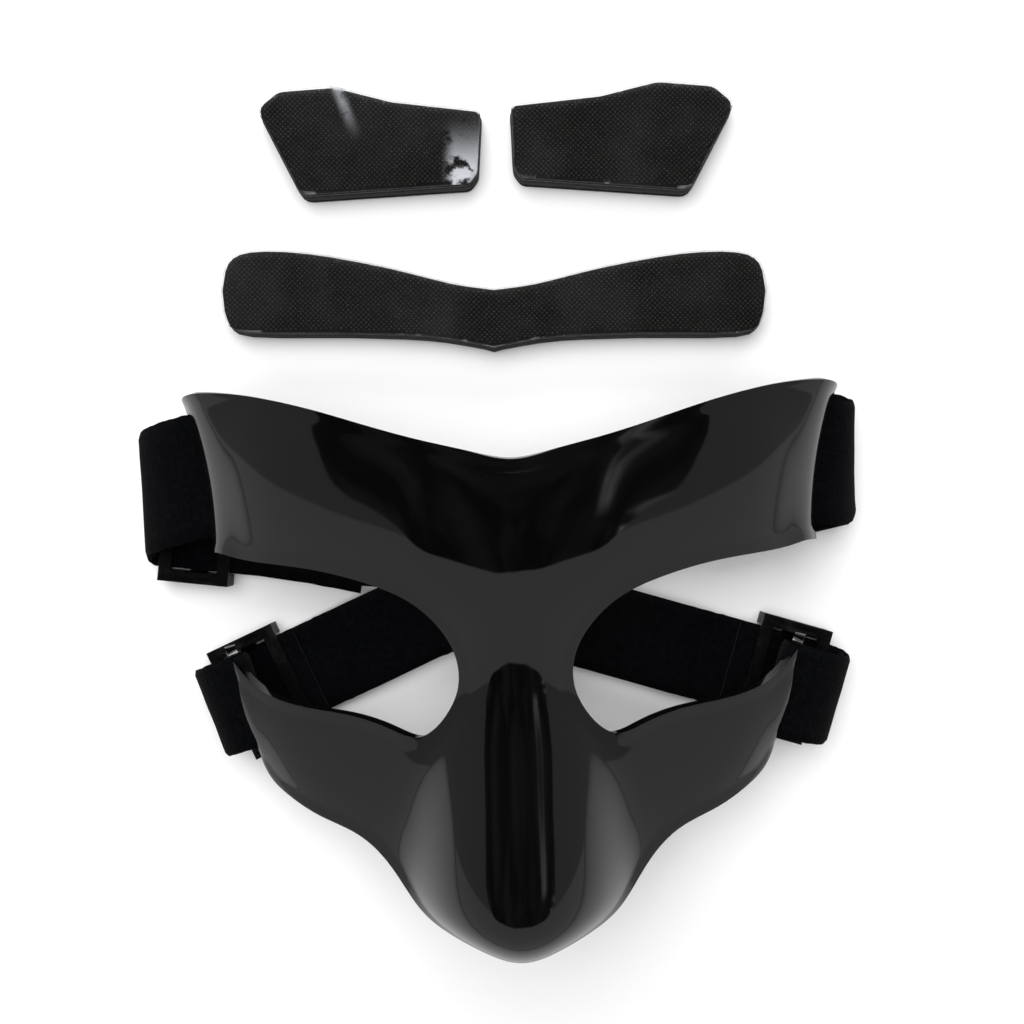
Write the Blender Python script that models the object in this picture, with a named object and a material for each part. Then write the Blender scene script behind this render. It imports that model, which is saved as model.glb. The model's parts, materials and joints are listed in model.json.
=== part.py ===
"""Nose and cheek guard for sparring: a moulded shell, two elastic straps with sliders, three stick-in pads.

The guard lies face up on a flat surface, its straps gathered under it and its pads laid out above the brow.
X runs across the face, Y up it towards the forehead, Z up from the surface. Sizes are in millimetres.
"""

import math

import bmesh
import bpy
from mathutils import Matrix, Vector

MM = 0.001

# Shell
SHELL_WIDTH = 189.0
SHELL_HEIGHT = 150.4
SHELL_DEPTH = 62.1
SHELL_WALL = 3.0
RIM_ROUNDING = 1.1

# Straps: the upper one crosses at the temples, the lower one at the cheeks
UPPER_STRAP_WIDTH = 36.0
LOWER_STRAP_WIDTH = 27.0
STRAP_THICKNESS = 1.3
LAYER_GAP = 0.4
FOLD_RADIUS = 2.6
UPPER_BAND_RUNS = (84.0, 64.0)
LOWER_BAND_RUNS = (64.0, 70.0)
CROSSING_LIFT = STRAP_THICKNESS + 2 * LAYER_GAP
RISE_LENGTH = 16.0
TAIL_CLEARANCE = 4.9
SLIDER_CLEAR_OF_FOLD = 1.3

# Slots in the wing ends
SLOT_PLAY = 1.5
SLOT_ROOM = 3.3
SLOT_WINDOW = STRAP_THICKNESS + SLOT_ROOM
SLOT_MARGIN_UPPER = 3.6
SLOT_MARGIN_LOWER = 2.9
REAR_BAR = 5.2
SLOT_ENTRY = 2.0
WRAP_BULGE = 2.6
WRAP_RETURN = 3.2

# Sliders
SLIDER_LENGTH = 21.0
SLIDER_BAR = 1.8
SLIDER_RAIL = 3.4
SLIDER_SIDE_BAR = 3.6
SLIDER_CENTRE_BAR = 5.0
SLIDER_CORNER = 3.2
SLIDER_PLAY = 0.6

# Pads, from the skin side up
SKIN_FABRIC = 0.6
FOAM = 3.6
LOOP_FABRIC = 0.8
HOOK_TAPE = 1.2
RELEASE_FILM = 0.2
PAD_GAP = 0.3
FOREHEAD_PAD_LENGTH = 163.4
CHEEK_PAD_LENGTH = 66.0
FOREHEAD_PAD_MIDLINE = -4.0
CHEEK_PADS_MIDLINE = -2.4
CHEEK_PADS_GAP = 10.4
FOREHEAD_PAD_Y = 63.3
CHEEK_PADS_Y = 111.0
LOOP_INSET = 0.4
TAPE_INSET = 0.6
FILM_INSET = 0.3
PAD_TURN = -1.3

# Heights above the surface, stacked from the sliders' centre bars up
MAIN_Z = SLIDER_BAR + LAYER_GAP + STRAP_THICKNESS / 2
TAIL_Z = MAIN_Z + STRAP_THICKNESS + LAYER_GAP
SLIDER_TOP = TAIL_Z + STRAP_THICKNESS / 2 + LAYER_GAP + SLIDER_BAR
LOWER_LEG_Z = SLIDER_TOP + LAYER_GAP + STRAP_THICKNESS / 2
WING_END_Z = LOWER_LEG_Z + STRAP_THICKNESS / 2 + 1.5 * LAYER_GAP
SLOT_Z = WING_END_Z + REAR_BAR + SLOT_WINDOW / 2

# The cage below is drawn at these sizes, and scaled to the driving ones
DRAWN_WIDTH = 189.0
DRAWN_HEIGHT = 150.4
DRAWN_DEPTH = 62.1
DRAWN_END_Z = 9.8

BLACK_GLOSS = ("black_gloss", (0.012, 0.012, 0.013), 0.08)
BLACK_ELASTIC = ("black_elastic", (0.008, 0.009, 0.014), 0.95)
BLACK_MOULDED = ("black_moulded", (0.010, 0.011, 0.010), 0.30)
SKIN_KNIT = ("skin_knit", (0.020, 0.020, 0.022), 0.90)
PAD_FOAM = ("pad_foam", (0.030, 0.030, 0.030), 0.95)
LOOP_PILE = ("loop_pile", (0.025, 0.025, 0.024), 0.95)
HOOK_BLACK = ("hook_black", (0.022, 0.022, 0.020), 0.45)
CLEAR_FILM = ("clear_film", (0.70, 0.72, 0.75), 0.12)


def clear_scene():
    for obj in list(bpy.data.objects):
        bpy.data.objects.remove(obj)


def material(spec):
    name, colour, roughness = spec
    found = bpy.data.materials.get(name)
    if found:
        return found
    made = bpy.data.materials.new(name)
    made.use_nodes = True
    shader = made.node_tree.nodes["Principled BSDF"]
    shader.inputs["Base Color"].default_value = (*colour, 1.0)
    shader.inputs["Roughness"].default_value = roughness
    shader.inputs["Metallic"].default_value = 0.0
    return made


def add_object(name, mesh_bm, spec, parent=None, location=(0, 0, 0), turn=0.0):
    """An object from a bmesh in millimetres, placed in its parent's frame."""
    bmesh.ops.scale(mesh_bm, vec=(MM, MM, MM), verts=mesh_bm.verts)
    mesh = bpy.data.meshes.new(name)
    mesh_bm.to_mesh(mesh)
    mesh_bm.free()
    mesh.shade_smooth()
    mesh.set_sharp_from_angle(angle=math.radians(35))
    obj = bpy.data.objects.new(name, mesh)
    bpy.context.scene.collection.objects.link(obj)
    obj.data.materials.append(material(spec))
    obj.parent = parent
    obj.location = [value * MM for value in location]
    obj.rotation_euler = (0, 0, turn)
    return obj


def add_empty(name, parent=None, location=(0, 0, 0), turn=0.0):
    empty = bpy.data.objects.new(name, None)
    bpy.context.scene.collection.objects.link(empty)
    empty.parent = parent
    empty.location = [value * MM for value in location]
    empty.rotation_euler = (0, 0, turn)
    return empty


def make_cutter(obj):
    obj.hide_render = True
    obj.display_type = "WIRE"


def cut(target, cutter, name):
    boolean = target.modifiers.new(name, "BOOLEAN")
    boolean.operation = "DIFFERENCE"
    boolean.object = cutter


def block(low, high):
    """A bmesh box between two corners."""
    bm = bmesh.new()
    bmesh.ops.create_cube(bm, size=1)
    size = Vector(high) - Vector(low)
    middle = (Vector(high) + Vector(low)) / 2
    bmesh.ops.scale(bm, vec=size, verts=bm.verts)
    bmesh.ops.translate(bm, vec=middle, verts=bm.verts)
    return bm


def plate(outline, low_z, high_z):
    """A bmesh prism over a closed outline."""
    bm = bmesh.new()
    ring = [bm.verts.new((x, y, low_z)) for x, y in outline]
    face = bm.faces.new(ring)
    lifted = bmesh.ops.extrude_face_region(bm, geom=[face])["geom"]
    raised = [item for item in lifted if isinstance(item, bmesh.types.BMVert)]
    bmesh.ops.translate(bm, vec=(0, 0, high_z - low_z), verts=raised)
    bmesh.ops.recalc_face_normals(bm, faces=bm.faces)
    return bm


def rounded_outline(corners, steps=4):
    """Corners given as (x, y, radius), each turned into an arc that touches both its sides."""
    points = []
    count = len(corners)
    for index, (x, y, radius) in enumerate(corners):
        here = Vector((x, y))
        back = (Vector(corners[index - 1][:2]) - here).normalized()
        ahead = (Vector(corners[(index + 1) % count][:2]) - here).normalized()
        half = back.angle(ahead) / 2
        reach = radius / math.tan(half)
        centre = here + (back + ahead).normalized() * radius / math.sin(half)
        start = here + back * reach - centre
        end = here + ahead * reach - centre
        sweep = start.angle_signed(end)
        for step in range(steps + 1):
            angle = -sweep * step / steps
            points.append(centre + Matrix.Rotation(angle, 2) @ start)
    return [(point.x, point.y) for point in points]


def curve_through(points, per_span):
    """Points along a smooth curve through the given vectors, ends included."""
    padded = [points[0] * 2 - points[1], *points, points[-1] * 2 - points[-2]]
    found = []
    for index in range(1, len(padded) - 2):
        a, b, c, d = padded[index - 1 : index + 3]
        for step in range(per_span):
            t = step / per_span
            bend = 2 * a - 5 * b + 4 * c - d
            found.append(0.5 * (2 * b + (c - a) * t + bend * t**2 + (3 * b - a - 3 * c + d) * t**3))
    return [*found, points[-1]]


# ---------------------------------------------------------------- shell

# Down the middle from brow to lip: y and height of the middle line, x, y and height of the column's
# side line, and how round the column is across (1 keeps the middle's height for most of the width).
COLUMN_ROWS = (
    (12.7, 57.5, 25.3, 19.1, 55.5, 0.50),
    (7.5, 61.5, 25.6, 12.5, 59.0, 0.55),
    (-2.5, 63.5, 26.0, 1.0, 60.5, 0.55),
    (-13.0, 62.3, 26.4, -10.5, 59.0, 0.55),
    (-22.5, 59.0, 25.5, -21.5, 54.0, 0.60),
    (-31.5, 55.3, 16.8, -31.5, 50.5, 0.62),
    (-41.0, 52.3, 14.0, -40.5, 47.5, 0.66),
    (-50.0, 52.3, 15.2, -50.0, 45.5, 0.74),
    (-59.0, 56.6, 24.5, -61.5, 44.0, 0.82),
    (-71.0, 63.4, 26.5, -72.0, 43.5, 0.84),
    (-83.5, 69.6, 27.5, -81.5, 43.0, 0.86),
    (-95.5, 73.4, 28.5, -90.0, 42.5, 0.88),
    (-106.5, 72.0, 28.5, -98.0, 42.0, 0.90),
    (-113.0, 62.5, 27.8, -103.0, 41.5, 0.86),
    (-115.5, 54.5, 27.0, -105.5, 41.0, 0.80),
)
BROW_ROWS = 5
CHEEK_FIRST_ROW = 8

# Brow plate from the column out: top and bottom edge (x, y, height), and the crown between them
BROW_STATIONS = (
    ((38.3, 23.3, 52.5), (39.0, -16.6, 51.0), 4.5),
    ((51.9, 28.0, 48.5), (52.3, -13.4, 46.5), 4.5),
    ((66.5, 32.0, 42.0), (66.5, -12.0, 39.5), 4.0),
    ((78.0, 34.3, 34.5), (75.5, -11.0, 32.5), 3.0),
)
# Cheek wing from the column out, in the same way
CHEEK_STATIONS = (
    ((34.0, -56.5, 40.5), (34.5, -94.0, 37.0), 0.5),
    ((45.5, -53.5, 36.3), (43.5, -86.5, 33.0), 1.0),
    ((57.5, -52.8, 31.4), (55.5, -83.5, 28.2), 1.5),
    ((68.0, -50.8, 26.2), (65.0, -78.5, 23.0), 2.0),
    ((76.5, -46.5, 20.8), (70.5, -75.0, 18.8), 2.2),
)

# Wing ends: middle of the end edge, its lean outwards at the top, and the stations leading to it,
# each (how far inboard of the end, height above it, push at mid-width)
BROW_END = {
    "x": 92.2,
    "y": 12.2,
    "lean": 9.0,
    "run": ((6.4, 19.5, -1.2), (1.7, 9.7, -1.8), (0.0, 0.0, -1.8)),
}
CHEEK_END = {
    "x": 79.8,
    "y": -53.6,
    "lean": 18.0,
    "run": ((1.3, 8.5, 2.6), (0.0, 0.0, 1.0)),
}


def scaled(x, y, z):
    """A cage point at the driving sizes, its height measured from the wing ends."""
    return Vector(
        (
            x * SHELL_WIDTH / DRAWN_WIDTH,
            y * SHELL_HEIGHT / DRAWN_HEIGHT,
            WING_END_Z + (z - DRAWN_END_Z) * SHELL_DEPTH / DRAWN_DEPTH,
        )
    )


def end_frame(end):
    """Middle of a wing's end edge, the way out of it and the way up along it, for the right side."""
    middle = scaled(end["x"], end["y"], DRAWN_END_Z)
    lean = math.radians(end["lean"])
    return middle, Vector((math.cos(lean), -math.sin(lean), 0)), Vector((math.sin(lean), math.cos(lean), 0))


def end_stations(end, strap_width, margin):
    """The wing's last stations, as tall as the slot and its margins."""
    middle, out, up = end_frame(end)
    half = (strap_width + SLOT_PLAY) / 2 + margin
    found = []
    for inboard, rise, push in end["run"]:
        centre = middle - out * inboard + Vector((0, 0, rise))
        found.append((centre + up * half, centre - up * half, out * push))
    return found


def wing_grid(side_line, stations, ends):
    """Rows of points from the column's side line to the wing's end."""
    rows = len(side_line)
    columns = [side_line]
    for top, bottom, crown in stations:
        columns.append(wing_column(scaled(*top), scaled(*bottom), Vector((0, 0, crown)), rows))
    for top, bottom, push in ends:
        columns.append(wing_column(top, bottom, push, rows))
    return columns


def wing_column(top, bottom, push, rows):
    """Points from the top edge to the bottom edge, pushed most at mid-width."""
    shares = [row / (rows - 1) for row in range(rows)]
    return [top.lerp(bottom, share) + push * (1 - (2 * share - 1) ** 2) for share in shares]


def column_row(row):
    """The four points of one row of the middle column, from the middle line to its side."""
    y, z, side_x, side_y, side_z, roundness = row
    middle, side = scaled(0, y, z), scaled(side_x, side_y, side_z)
    inner, outer = middle.lerp(side, 0.36), middle.lerp(side, 0.72)
    inner.z = side.z + (middle.z - side.z) * (0.70 + 0.27 * roundness)
    outer.z = side.z + (middle.z - side.z) * (0.15 + 0.50 * roundness)
    return [middle, inner, outer, side]


def add_grid(bm, columns, shared):
    """Quads between neighbouring columns of points. Points already made are in shared."""

    def vertex(point):
        key = tuple(round(value, 4) for value in point)
        if key not in shared:
            shared[key] = bm.verts.new(point)
        return shared[key]

    for left, right in zip(columns, columns[1:]):
        for row in range(len(left) - 1):
            corners = (left[row], left[row + 1], right[row + 1], right[row])
            bm.faces.new([vertex(point) for point in corners])


def shell_cage():
    """The right half of the shell's outer face, as quads."""
    rows = [column_row(row) for row in COLUMN_ROWS]
    column = [[row[index] for row in rows] for index in range(4)]
    brow_side = column[3][:BROW_ROWS]
    cheek_side = column[3][CHEEK_FIRST_ROW:]
    brow_ends = end_stations(BROW_END, UPPER_STRAP_WIDTH, SLOT_MARGIN_UPPER)
    cheek_ends = end_stations(CHEEK_END, LOWER_STRAP_WIDTH, SLOT_MARGIN_LOWER)
    bm = bmesh.new()
    shared = {}
    add_grid(bm, column, shared)
    add_grid(bm, wing_grid(brow_side, BROW_STATIONS, brow_ends), shared)
    add_grid(bm, wing_grid(cheek_side, CHEEK_STATIONS, cheek_ends), shared)
    bmesh.ops.recalc_face_normals(bm, faces=bm.faces)
    if sum(face.normal.z for face in bm.faces) < 0:
        bmesh.ops.reverse_faces(bm, faces=bm.faces)
    return bm


def slot_centre(end):
    """Middle of the slot, halfway through the wall, on the right side."""
    middle, out, _ = end_frame(end)
    (inboard, rise, push), last = end["run"][-2:]
    share = (SLOT_Z - WING_END_Z) / rise
    depth = inboard * share - push * share - last[2] * (1 - share) + SHELL_WALL / 2
    return Vector((middle.x, middle.y, SLOT_Z)) - out * depth


def add_shell(parent):
    shell = add_object("shell", shell_cage(), BLACK_GLOSS, parent)
    mirror = shell.modifiers.new("mirror", "MIRROR")
    mirror.use_clip = True
    mirror.merge_threshold = 0.00005
    smooth = shell.modifiers.new("smooth", "SUBSURF")
    smooth.levels = smooth.render_levels = 1
    wall = shell.modifiers.new("wall", "SOLIDIFY")
    wall.thickness = SHELL_WALL * MM
    wall.offset = -1
    wall.use_even_offset = True
    rim = shell.modifiers.new("rim", "BEVEL")
    rim.width = RIM_ROUNDING * MM
    rim.segments = 2
    rim.limit_method = "ANGLE"
    rim.angle_limit = math.radians(60)
    slots = (("upper", BROW_END, UPPER_STRAP_WIDTH), ("lower", CHEEK_END, LOWER_STRAP_WIDTH))
    for level, end, width in slots:
        length = width + SLOT_PLAY
        centre = slot_centre(end)
        for side, sign in (("left", -1), ("right", 1)):
            name = f"{level}_{side}_slot"
            cutter = add_object(
                name,
                block((-6, -length / 2, -SLOT_WINDOW / 2), (6, length / 2, SLOT_WINDOW / 2)),
                BLACK_GLOSS,
                parent,
                (sign * centre.x, centre.y, centre.z),
                -sign * math.radians(end["lean"]),
            )
            make_cutter(cutter)
            cut(shell, cutter, name)
    return shell


# ---------------------------------------------------------------- straps

# Each strap end: how far the fold stands out from the slot, the way its return runs (degrees above
# the horizontal, going inboard), how far the return is shifted down the face, and its tail.
STRAP_ENDS = {
    "upper_left": {
        "end": BROW_END, "sign": -1,
        "reach": 22.5, "climb": -7.0, "shift": 6.0, "droop": 2.2,
    },
    "upper_right": {
        "end": BROW_END, "sign": 1,
        "reach": 14.5, "climb": -12.0, "shift": -4.5, "tail": 44.0,
    },
    "lower_left": {
        "end": CHEEK_END, "sign": -1,
        "reach": 12.0, "climb": 24.0, "shift": 0.9, "tail": 27.0,
    },
    "lower_right": {
        "end": CHEEK_END, "sign": 1,
        "reach": 17.0, "climb": 17.0, "shift": -2.2, "tail": 28.0,
    },
}


class StrapEnd:
    """Where one end of a strap runs: across its slot, and along its return line."""

    def __init__(self, spec):
        sign = spec["sign"]
        slot = slot_centre(spec["end"])
        lean = math.radians(spec["end"]["lean"])
        climb = math.radians(spec["climb"])
        self.slot = Vector((sign * slot.x, slot.y, 0))
        self.out = Vector((sign * math.cos(lean), -math.sin(lean), 0))
        self.back_out = Vector((sign * math.cos(climb), -math.sin(climb), 0))
        self.reach = spec["reach"]
        self.tail = spec.get("tail")
        self.droop = spec.get("droop", 0.0)
        self.fold_x = self.reach - STRAP_THICKNESS / 2 - FOLD_RADIUS - STRAP_THICKNESS - LAYER_GAP
        self.fold = self.slot + self.out * self.fold_x + Vector((0, -spec["shift"], 0))
        self.across = Vector((-self.out.y, self.out.x, 0)) * sign
        self.back_across = Vector((-self.back_out.y, self.back_out.x, 0)) * sign

    def station(self, x, z, share, droop=0.0):
        """Centre and cross direction at x outboard of the slot; share is 0 before the fold, 1 after it."""
        ease = share * share * (3 - 2 * share)
        before = self.slot + self.out * x
        after = self.fold + self.back_out * (x - self.fold_x)
        centre = before.lerp(after, ease) + Vector((0, -droop, z))
        return centre, self.across.lerp(self.back_across, ease).normalized()

    def outer_layer(self):
        """From inside the slot out through it, round the fold and on to the band."""
        extreme = self.reach - STRAP_THICKNESS / 2
        big = FOLD_RADIUS + STRAP_THICKNESS + LAYER_GAP
        middle_z = MAIN_Z + big
        found = [self.station(-SLOT_ENTRY, SLOT_Z, 0), self.station(0.0, SLOT_Z, 0)]
        for step in range(9):
            angle = math.pi / 2 * step / 8
            x = SLOT_ENTRY + (extreme - SLOT_ENTRY) * math.sin(angle)
            z = middle_z + (SLOT_Z - middle_z) * math.cos(angle)
            found.append(self.station(x, z, step / 16))
        for step in range(1, 6):
            angle = math.pi / 2 * step / 5
            x = extreme - big + big * math.cos(angle)
            found.append(self.station(x, middle_z - big * math.sin(angle), 0.5 + step / 10))
        return found

    def wrap(self):
        """Round the rear bar, from the slot down its inside and out under it."""
        middle_z = (SLOT_Z + LOWER_LEG_Z) / 2
        half = (SLOT_Z - LOWER_LEG_Z) / 2
        found = []
        for step in range(1, 8):
            angle = math.pi * step / 8
            x = -SLOT_ENTRY - WRAP_BULGE * math.sin(angle)
            found.append(self.station(x, middle_z + half * math.cos(angle), 0))
        return [*found, self.station(-SLOT_ENTRY, LOWER_LEG_Z, 0), self.station(WRAP_RETURN, LOWER_LEG_Z, 0)]

    def inner_layer(self):
        """From under the rear bar to the inner fold and back along the band to the tail's end."""
        top_z = TAIL_Z + 2 * FOLD_RADIUS
        halfway = (self.fold_x + WRAP_RETURN) / 2
        found = [self.station(halfway, 0.4 * LOWER_LEG_Z + 0.6 * top_z, 0.1)]
        for step in range(9):
            angle = math.pi * step / 8
            x = self.fold_x + FOLD_RADIUS * math.sin(angle)
            z = TAIL_Z + FOLD_RADIUS + FOLD_RADIUS * math.cos(angle)
            found.append(self.station(x, z, 0.2 + 0.1 * step))
        for step in range(1, 9):
            share = step / 8
            droop = self.droop * max(0.0, 1.6 * share - 0.6) ** 2
            found.append(self.station(self.fold_x - self.tail * share, TAIL_Z, 1, droop))
        return found

    def stop_short_of(self, other, width, other_width, clearance):
        """Ends the tail before its lower corner reaches the other strap's upper edge."""
        corner = self.fold - self.back_across * (width / 2)
        edge = other.fold + other.back_across * (other_width / 2)
        apart = (edge - corner).cross(-other.back_out).z
        self.tail = apart / (-self.back_out).cross(-other.back_out).z - clearance

    def band_start(self, run):
        """A point on the return line, run inboard of the fold, and the way on."""
        return self.fold - self.back_out * run, -self.back_out


def ribbon(stations, width, thickness):
    """A bmesh band of rectangular section through (centre, cross direction) stations."""
    bm = bmesh.new()
    rings = []
    for index, (centre, across) in enumerate(stations):
        before = stations[max(index - 1, 0)][0]
        after = stations[min(index + 1, len(stations) - 1)][0]
        along = (after - before).normalized()
        rise = along.cross(across).normalized()
        ring = []
        for u, v in ((-1, -1), (1, -1), (1, 1), (-1, 1)):
            ring.append(bm.verts.new(centre + across * (u * width / 2) + rise * (v * thickness / 2)))
        rings.append(ring)
    for first, second in zip(rings, rings[1:]):
        for index in range(4):
            following = (index + 1) % 4
            bm.faces.new((first[index], first[following], second[following], second[index]))
    bm.faces.new(rings[0][::-1])
    bm.faces.new(rings[-1])
    bmesh.ops.recalc_face_normals(bm, faces=bm.faces)
    return bm


def band_between(left, right, left_run, right_run, lift):
    """Stations of the band behind the shell, from one return line to the other."""
    start, start_way = left.band_start(left_run)
    end, end_way = right.band_start(right_run)
    rising = []
    falling = []
    for share in (0.0, 0.3, 0.7):
        height = Vector((0, 0, MAIN_Z + lift * share * share * (3 - 2 * share)))
        run = 2 + RISE_LENGTH * share
        rising.append((left.band_start(left.tail + run)[0] + height, left.back_across))
        falling.append((right.band_start(right.tail + run)[0] + height, right.back_across))
    pull = (end - start).length * 0.36
    control = (start, start + start_way * pull, end + end_way * pull, end)
    found = []
    steps = 18
    for step in range(steps + 1):
        t = step / steps
        u = 1 - t
        weights = (u**3, 3 * u * u * t, 3 * u * t * t, t**3)
        centre = sum((point * weight for point, weight in zip(control, weights)), Vector())
        way = (control[1] - control[0]) * u * u + (control[2] - control[1]) * 2 * u * t
        way = (way + (control[3] - control[2]) * t * t).normalized()
        centre.z = MAIN_Z + lift
        found.append((centre, Vector((-way.y, way.x, 0))))
    return [*rising, *found, *falling[::-1]]


def strap_stations(left, right, left_run, right_run, lift):
    """The whole strap from one tail's end to the other's."""
    found = [*left.inner_layer()[::-1], *left.wrap()[::-1], *left.outer_layer()]
    found += band_between(left, right, left_run, right_run, lift)
    found += [*right.outer_layer()[::-1], *right.wrap(), *right.inner_layer()]
    return found


def facing_same_way(stations):
    """Cross directions that don't flip from one station to the next."""
    fixed = [stations[0]]
    for centre, across in stations[1:]:
        fixed.append((centre, across if across.dot(fixed[-1][1]) > 0 else -across))
    return fixed


def strap_ends():
    """All four strap ends, the long upper tail cut to stay clear of the lower strap."""
    ends = {name: StrapEnd(spec) for name, spec in STRAP_ENDS.items()}
    crossing = (ends["lower_left"], UPPER_STRAP_WIDTH, LOWER_STRAP_WIDTH, TAIL_CLEARANCE)
    ends["upper_left"].stop_short_of(*crossing)
    return ends


def add_strap(name, left, right, width, runs, lift, parent):
    stations = strap_stations(left, right, *runs, lift)
    return add_object(name, ribbon(facing_same_way(stations), width, STRAP_THICKNESS), BLACK_ELASTIC, parent)


# ---------------------------------------------------------------- sliders


def add_slider(name, spec, strap_width, parent):
    """A three-bar slider: both strap layers run over its low centre bar and under its high side bars."""
    end = StrapEnd(spec)
    opening = strap_width + 2 * SLIDER_PLAY
    half_across = opening / 2 + SLIDER_RAIL
    half_along = SLIDER_LENGTH / 2
    middle = end.fold - end.back_out * (half_along + SLIDER_CLEAR_OF_FOLD)
    turn = math.atan2(end.back_out.y, end.back_out.x)
    corners = [
        (-half_along, -half_across, SLIDER_CORNER),
        (half_along, -half_across, SLIDER_CORNER),
        (half_along, half_across, SLIDER_CORNER),
        (-half_along, half_across, SLIDER_CORNER),
    ]
    frame = add_object(
        name, plate(rounded_outline(corners), 0, SLIDER_TOP), BLACK_MOULDED, parent, middle, turn
    )
    window = half_along - SLIDER_SIDE_BAR
    side = opening / 2
    past = half_along + 2
    cuts = {
        "passage": ((-past, -side, SLIDER_BAR), (past, side, SLIDER_TOP - SLIDER_BAR)),
        "top_window": ((-window, -side, SLIDER_BAR + 1), (window, side, SLIDER_TOP + 2)),
        "outer_relief": ((SLIDER_CENTRE_BAR / 2, -side, -2), (past, side, SLIDER_BAR + 1)),
        "inner_relief": ((-past, -side, -2), (-SLIDER_CENTRE_BAR / 2, side, SLIDER_BAR + 1)),
    }
    for label, (low, high) in cuts.items():
        cutter = add_object(f"{name}_{label}", block(low, high), BLACK_MOULDED, parent, middle, turn)
        make_cutter(cutter)
        cut(frame, cutter, label)
    edges = frame.modifiers.new("edges", "BEVEL")
    edges.width = 0.5 * MM
    edges.segments = 1
    edges.limit_method = "ANGLE"
    edges.angle_limit = math.radians(50)
    return frame


# ---------------------------------------------------------------- pads


def forehead_pad_outline():
    """A long pad with a shallow V along its top and a blunt point below, about its own middle."""
    half = FOREHEAD_PAD_LENGTH / 2
    top = [Vector((half, 3.0)), Vector((half - 2, 11.5)), Vector((half - 9, 15.0)), Vector((56, 14.6))]
    top += [Vector((33, 10.6)), Vector((12.5, 5.6)), Vector((0, 3.8))]
    low = [Vector((0, -14.4)), Vector((5, -13.2)), Vector((20, -11.0)), Vector((44, -10.1))]
    low += [Vector((half - 8, -9.8)), Vector((half - 1.6, -6.0)), Vector((half, 3.0))]
    scale = half / 81.7
    for point in top[3:6] + low[1:4]:
        point.x *= scale
    upper = curve_through(top, 3)
    lower = curve_through(low, 3)[:-1]
    right = [(p.x, p.y) for p in [*lower, *upper][1:-1]]
    left = [(-x, y) for x, y in reversed(right)]
    return [(0, low[0].y), *right, (0, top[-1].y), *left]


def cheek_pad_outline(sign):
    """A short pad, slanted at its outer end and waved along its top, about its own middle."""
    half = CHEEK_PAD_LENGTH / 2
    scale = half / 33.0
    corners = [
        (-33.0, -9.0, 4.0),
        (-30.5, -12.4, 3.0),
        (20.0, -15.8, 4.0),
        (33.6, 10.5, 3.5),
        (27.0, 16.0, 6.0),
        (10.0, 17.3, 12.0),
        (-7.0, 13.0, 14.0),
        (-34.0, 10.0, 2.0),
    ]
    outline = rounded_outline([(x * scale, y, r) for x, y, r in corners], 3)
    return outline if sign > 0 else [(-x, y) for x, y in reversed(outline)]


def inset_outline(outline, distance):
    """The outline drawn in by a distance, towards its inside, at every corner."""
    found = []
    count = len(outline)
    for index in range(count):
        before, here, after = (Vector(outline[i % count]) for i in (index - 1, index, index + 1))
        way = (after - before).normalized()
        found.append((here.x - way.y * distance, here.y + way.x * distance))
    return found


def add_pad(name, outline, centre, parent):
    """One pad: skin fabric, foam and loop fabric, and the adhesive hook tape with its film on top."""
    layers = (
        ("skin", SKIN_FABRIC, 0.0, SKIN_KNIT),
        ("foam", FOAM, 0.0, PAD_FOAM),
        ("loop", LOOP_FABRIC, LOOP_INSET, LOOP_PILE),
        ("hook_tape", HOOK_TAPE, TAPE_INSET, HOOK_BLACK),
        ("film", RELEASE_FILM, FILM_INSET, CLEAR_FILM),
    )
    base = 0.0
    for label, thickness, inset, spec in layers:
        shape = inset_outline(outline, inset) if inset else outline
        solid = plate(shape, base, base + thickness)
        add_object(f"{name}_{label}", solid, spec, parent, (*centre, 0), math.radians(PAD_TURN))
        base += thickness + PAD_GAP


# ---------------------------------------------------------------- assembly


def stand_on_origin(root):
    """Moves the whole object so that the middle of its box's base is the origin."""
    bpy.context.view_layer.update()
    graph = bpy.context.evaluated_depsgraph_get()
    points = []
    for obj in bpy.context.scene.objects:
        if obj.type != "MESH" or obj.hide_render:
            continue
        evaluated = obj.evaluated_get(graph)
        points += [evaluated.matrix_world @ Vector(corner) for corner in evaluated.bound_box]
    low = [min(point[axis] for point in points) for axis in range(3)]
    high = [max(point[axis] for point in points) for axis in range(3)]
    root.location = (-(low[0] + high[0]) / 2, -(low[1] + high[1]) / 2, -low[2])


def main():
    clear_scene()
    root = add_empty("guard")
    add_shell(root)
    ends = strap_ends()
    upper = (ends["upper_left"], ends["upper_right"], UPPER_STRAP_WIDTH, UPPER_BAND_RUNS)
    add_strap("upper_strap", *upper, 0, root)
    lower = (ends["lower_left"], ends["lower_right"], LOWER_STRAP_WIDTH, LOWER_BAND_RUNS)
    add_strap("lower_strap", *lower, CROSSING_LIFT, root)
    for name, spec in STRAP_ENDS.items():
        width = UPPER_STRAP_WIDTH if spec["end"] is BROW_END else LOWER_STRAP_WIDTH
        add_slider(f"{name}_slider", spec, width, root)
    add_pad("forehead_pad", forehead_pad_outline(), (FOREHEAD_PAD_MIDLINE, FOREHEAD_PAD_Y), root)
    cheek_x = (CHEEK_PADS_GAP + CHEEK_PAD_LENGTH) / 2
    add_pad("left_cheek_pad", cheek_pad_outline(-1), (CHEEK_PADS_MIDLINE - cheek_x, CHEEK_PADS_Y), root)
    add_pad("right_cheek_pad", cheek_pad_outline(1), (CHEEK_PADS_MIDLINE + cheek_x, CHEEK_PADS_Y), root)
    stand_on_origin(root)


main()
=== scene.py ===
import json
import math

import bmesh
import bpy
from mathutils import Matrix, Vector, noise
from mathutils.bvhtree import BVHTree
from mathutils.kdtree import KDTree


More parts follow.
